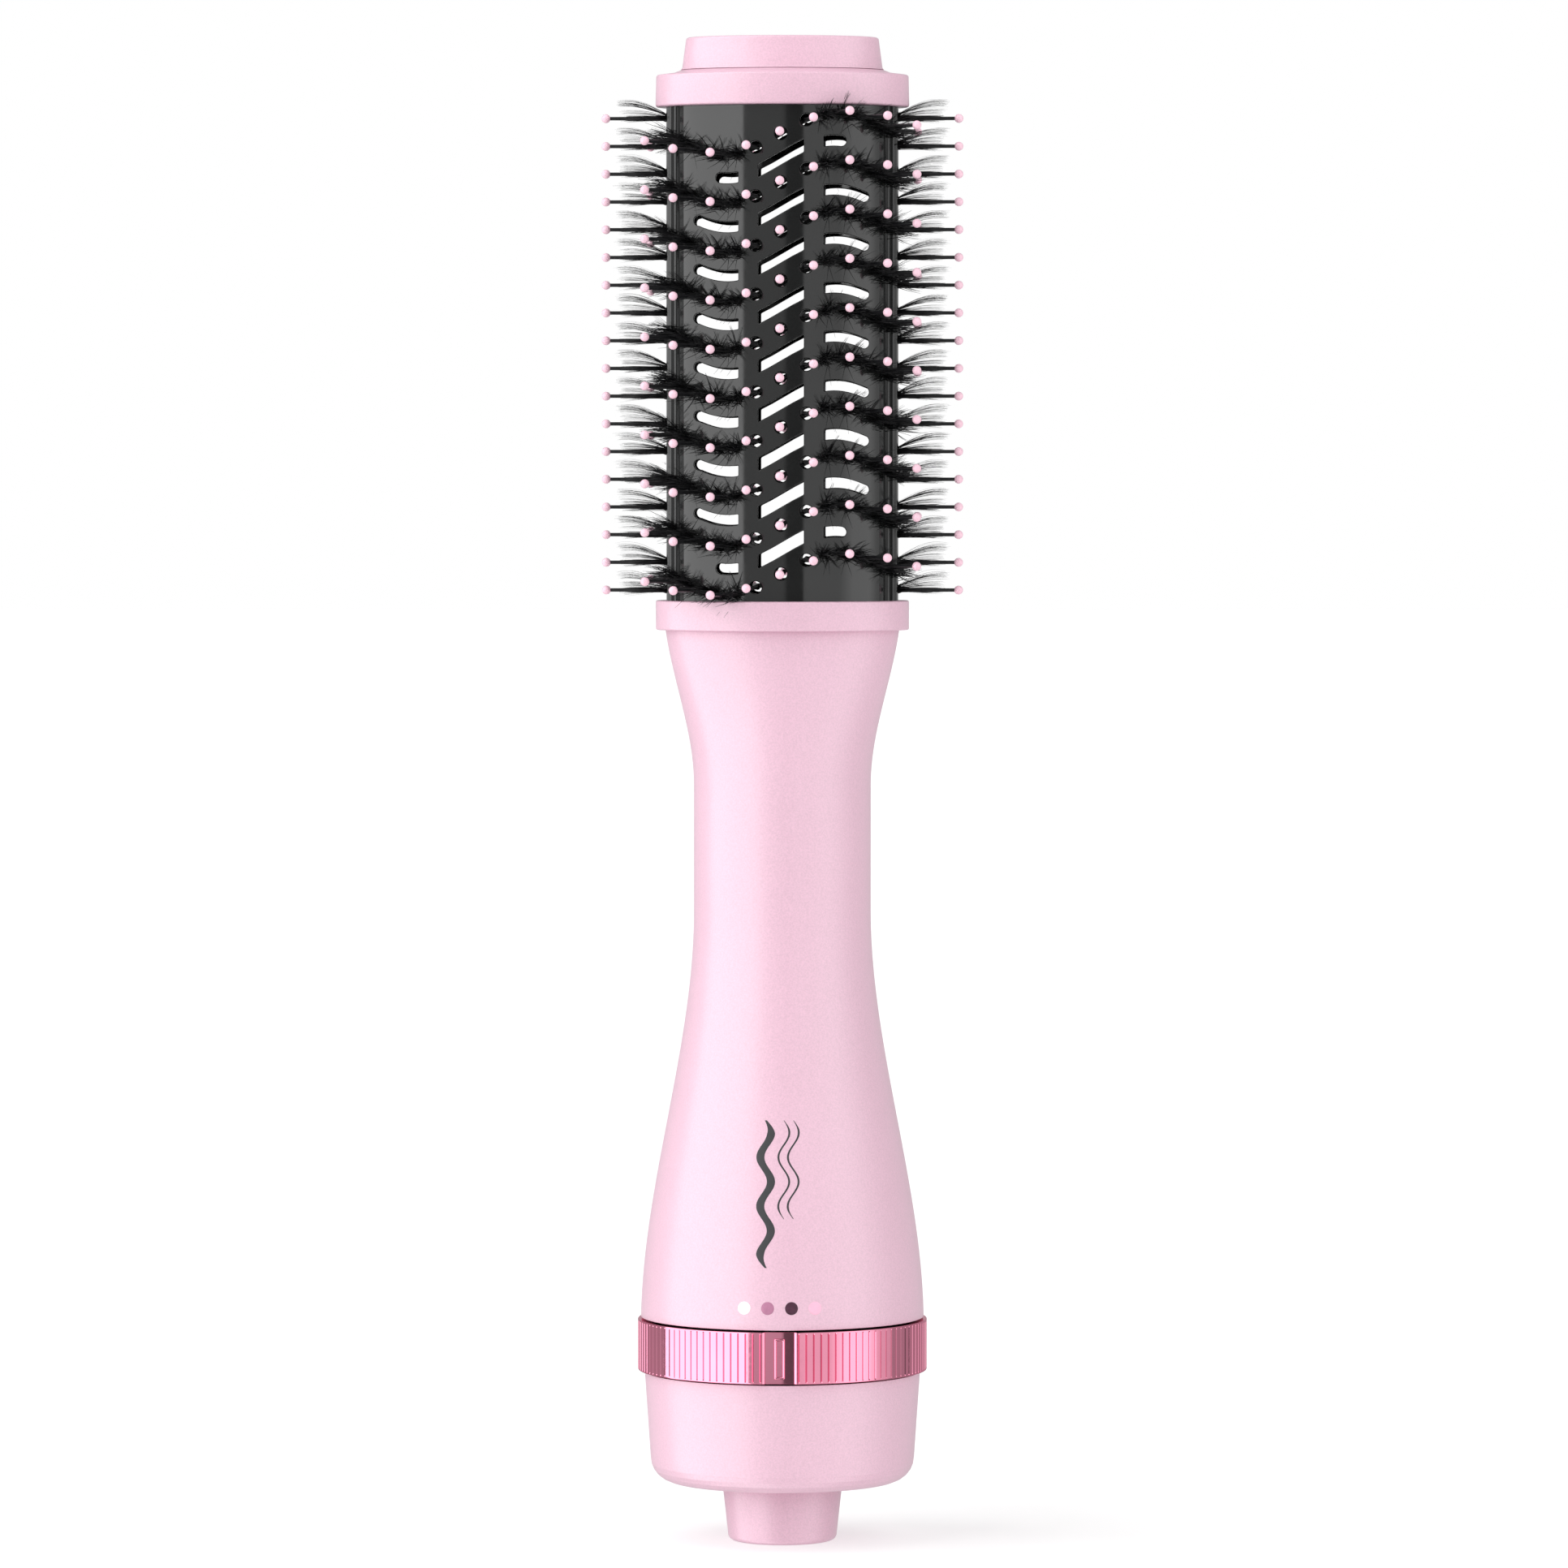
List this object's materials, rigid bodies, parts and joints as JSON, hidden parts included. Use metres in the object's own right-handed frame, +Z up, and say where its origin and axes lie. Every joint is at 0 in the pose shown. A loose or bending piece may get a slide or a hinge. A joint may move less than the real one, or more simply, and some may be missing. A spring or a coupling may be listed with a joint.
{
  "type": "hot air brush",
  "caption": "Hair-styling brush with an oval bristle barrel on a waisted handle; a turning dial above the base sets the blower and heater.",
  "frame": {"origin": "centre of the cord gland's open end, the lowest point of the upright brush", "axes": "+Z up the long axis towards the cap, front with the setting marks faces -Y, +X to the right"},
  "size_m": [0.0844, 0.0676, 0.352],
  "materials": {
    "pearl_plastic": "satin pearl",
    "rose_chrome": "polished rose metal",
    "ceramic_grey": "gloss ceramic coat",
    "bristle": "black nylon",
    "tip": "smooth pink",
    "inner_plastic": "moulded",
    "mark_white": "printed",
    "mark_mauve": "printed",
    "mark_plum": "printed",
    "mark_pink": "printed",
    "steel": "turned",
    "copper": "drawn",
    "bronze": "sintered",
    "mica": "mica sheet",
    "board": "circuit board",
    "wire": "insulated",
    "fan_plastic": "moulded"
  },
  "bodies": {
    "handle": {"end_cap_tip": "pearl_plastic", "end_cap_flange": "pearl_plastic", "cap_screws": "steel", "tie_rods": "steel", "front_barrel_plate": "ceramic_grey", "rear_barrel_plate": "ceramic_grey", "left_bristle_bed": "ceramic_grey", "right_bristle_bed": "ceramic_grey", "front_pin_frame": "bristle", "rear_pin_frame": "bristle", "front_pins": "bristle", "rear_pins": "bristle", "left_pins": "bristle", "right_pins": "bristle", "front_pin_tips": "tip", "rear_pin_tips": "tip", "left_pin_tips": "tip", "right_pin_tips": "tip", "front_tufts": "bristle", "rear_tufts": "bristle", "left_tufts": "bristle", "right_tufts": "bristle", "collar": "pearl_plastic", "barrel_base": "inner_plastic", "front_handle_shell": "pearl_plastic", "rear_handle_shell": "pearl_plastic", "shell_ring": "inner_plastic", "setting_mark_off": "mark_white", "setting_mark_cool": "mark_mauve", "setting_mark_low": "mark_plum", "setting_mark_high": "mark_pink", "base_cup": "pearl_plastic", "base_screws": "steel", "inlet_filter": "inner_plastic", "chassis": "inner_plastic", "switch_board": "board", "detent_spring": "steel", "contact_brushes": "copper", "internal_wires": "wire", "fan_duct": "inner_plastic", "motor_mount": "inner_plastic", "motor_case": "steel", "motor_magnets": "inner_plastic", "motor_bearings": "bronze", "heater_sleeve": "mica", "heater_former": "mica", "heater_coil": "steel", "thermostat": "steel", "thermal_fuse": "steel"},
    "dial": {"dial_ring": "rose_chrome", "dial_pointer": "rose_chrome", "dial_carrier": "inner_plastic", "switch_wiper": "copper"},
    "rotor": {"impeller": "fan_plastic", "motor_shaft": "steel", "motor_rotor": "copper"},
    "swivel": {"cord_gland": "pearl_plastic", "gland_retainer": "steel", "slip_rings": "copper"}
  },
  "joints": [
    {"name": "dial_turn", "type": "hinge", "parent": "handle", "child": "dial", "pos_m": [0, 0, 0.046], "axis": [0, 0, 1], "range_deg": [-14.4, 14.4]},
    {"name": "impeller_spin", "type": "hinge", "parent": "handle", "child": "rotor", "pos_m": [0, 0, 0.067], "axis": [0, 0, 1], "continuous": true},
    {"name": "cord_swivel", "type": "hinge", "parent": "handle", "child": "swivel", "pos_m": [0, 0, 0.015], "axis": [0, 0, 1], "continuous": true}
  ]
}
